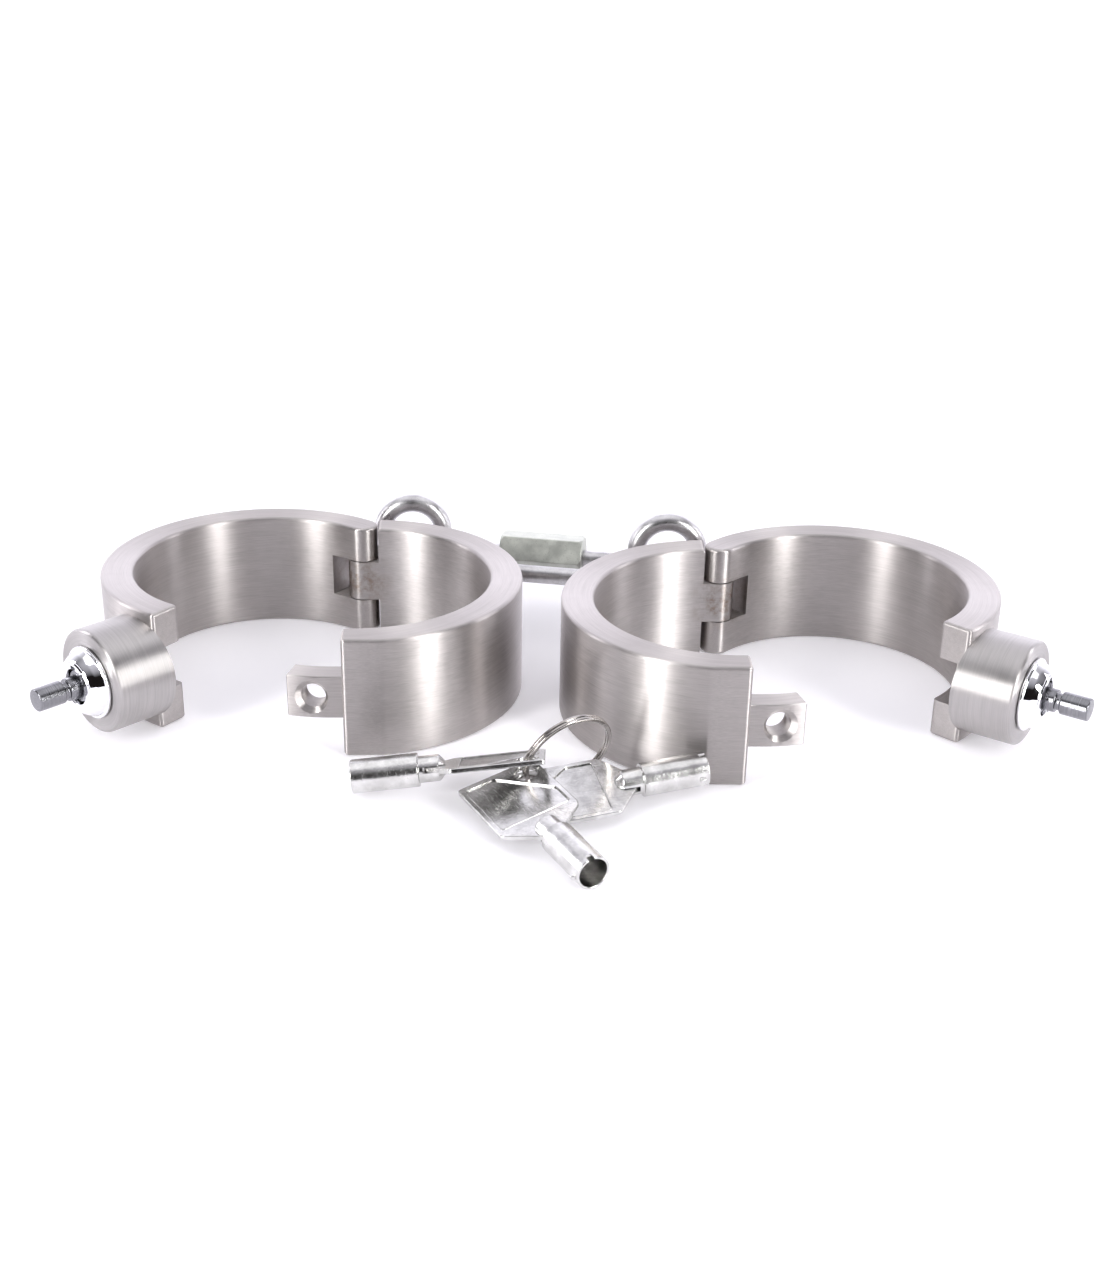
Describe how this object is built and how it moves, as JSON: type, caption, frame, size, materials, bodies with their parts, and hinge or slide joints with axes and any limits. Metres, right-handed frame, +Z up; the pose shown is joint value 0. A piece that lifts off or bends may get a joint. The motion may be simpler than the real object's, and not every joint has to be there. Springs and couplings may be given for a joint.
{
  "type": "rigid handcuffs",
  "caption": "Pair of rigid round steel handcuffs with hinged halves and push locks, joined by a screw quick link, with tubular keys on a split ring.",
  "frame": {"origin": "middle of the object's box, on the surface that the cuffs stand on", "axes": "+Z up; +X from the left cuff to the right cuff, along the object's longest extent; +Y to the back, where the quick link is; the keys lie in front at -Y"},
  "size_m": [0.247, 0.1542, 0.0343],
  "materials": {
    "band_steel": "brushed round the band, satin rims",
    "housing_steel": "brushed round the housing",
    "bezel_chrome": "mirror polished",
    "plunger_steel": "turned and polished, slightly dark",
    "lock_brass": "turned",
    "spring_steel": "drawn wire",
    "bar_steel": "satin round bar",
    "nut_steel": "satin flats",
    "key_nickel": "bright nickel plate, slightly grained",
    "ring_nickel": "nickel-plated spring wire"
  },
  "bodies": {
    "left_cuff": {"left_fixed_half": "band_steel", "left_hinge_pin": "bar_steel", "left_anchor_loop": "bar_steel"},
    "left_swing": {"left_swing_half": "band_steel", "left_lock_housing": "housing_steel", "left_lock_bezel": "bezel_chrome", "left_retaining_clip": "spring_steel", "left_back_washer": "lock_brass", "left_plunger_spring": "spring_steel"},
    "left_plunger": {"left_plunger": "plunger_steel"},
    "left_rotor": {"left_lock_rotor": "lock_brass"},
    "link": {"quick_link": "bar_steel"},
    "link_nut": {"quick_link_nut": "nut_steel"},
    "right_cuff": {"right_fixed_half": "band_steel", "right_hinge_pin": "bar_steel", "right_anchor_loop": "bar_steel"},
    "right_swing": {"right_swing_half": "band_steel", "right_lock_housing": "housing_steel", "right_lock_bezel": "bezel_chrome", "right_retaining_clip": "spring_steel", "right_back_washer": "lock_brass", "right_plunger_spring": "spring_steel"},
    "right_plunger": {"right_plunger": "plunger_steel"},
    "right_rotor": {"right_lock_rotor": "lock_brass"},
    "split_ring": {"split_ring": "ring_nickel"},
    "key_a": {"key_a_tube": "key_nickel", "key_a_bow": "key_nickel"},
    "key_b": {"key_b_tube": "key_nickel", "key_b_bow": "key_nickel"},
    "key_c": {"key_c_tube": "key_nickel", "key_c_bow": "key_nickel"}
  },
  "joints": [
    {"name": "left_hinge", "type": "hinge", "parent": "left_cuff", "child": "left_swing", "pos_m": [-0.05498, 0.05633, 0.015], "axis": [0, 0, 1], "range_deg": [-39, 36]},
    {"name": "left_plunger_press", "type": "slide", "parent": "left_swing", "child": "left_plunger", "axis": [-0.6909, -0.723, 0], "range_m": [-0.0096, 0], "stiffness_N_per_m": 250, "springref_m": 0.004, "deforming": ["left_plunger_spring"]},
    {"name": "left_rotor_turn", "type": "hinge", "parent": "left_swing", "child": "left_rotor", "pos_m": [-0.1095, -0.00977, 0.015], "axis": [-0.6909, -0.723, 0], "range_deg": [-60, 0]},
    {"name": "right_hinge", "type": "hinge", "parent": "right_cuff", "child": "right_swing", "pos_m": [0.04041, 0.04565, 0.015], "axis": [0, 0, 1], "range_deg": [-44.5, 30.5]},
    {"name": "right_plunger_press", "type": "slide", "parent": "right_swing", "child": "right_plunger", "axis": [0.8261, -0.5635, 0], "range_m": [-0.0096, 0], "stiffness_N_per_m": 250, "springref_m": 0.004, "deforming": ["right_plunger_spring"]},
    {"name": "right_rotor_turn", "type": "hinge", "parent": "right_swing", "child": "right_rotor", "pos_m": [0.10748, -0.00766, 0.015], "axis": [0.8261, -0.5635, 0], "range_deg": [-60, 0]},
    {"name": "link_yaw", "type": "hinge", "parent": "left_cuff", "child": "link", "pos_m": [-0.03416, 0.06868, 0.0166], "axis": [0, 0, 1], "range_deg": [0, 20]},
    {"name": "right_cuff_yaw", "type": "hinge", "parent": "link", "child": "right_cuff", "pos_m": [0.01887, 0.0567, 0.0166], "axis": [0, 0, 1], "range_deg": [0, 25]},
    {"name": "link_nut_travel", "type": "slide", "parent": "link", "child": "link_nut", "axis": [0.9867, -0.1625, 0], "range_m": [-0.0098, 0]},
    {"name": "key_ring_lift", "type": "slide", "parent": "left_cuff", "child": "split_ring", "axis": [0, 0, 1], "range_m": [0, 0.06]},
    {"name": "key_a_swivel", "type": "hinge", "parent": "split_ring", "child": "key_a", "pos_m": [-0.00838, -0.0411, 0.01158], "axis": [-0.1249, 0.3568, 0.9258], "range_deg": [0, 12]},
    {"name": "key_b_swivel", "type": "hinge", "parent": "split_ring", "child": "key_b", "pos_m": [-0.00779, -0.03871, 0.0044], "axis": [-0.0324, -0.1688, 0.9851], "range_deg": [-10, 0]},
    {"name": "key_c_swivel", "type": "hinge", "parent": "split_ring", "child": "key_c", "pos_m": [-0.00861, -0.03824, 0.00655], "axis": [-0.1471, -0.1125, 0.9827], "range_deg": [0, 10]}
  ]
}
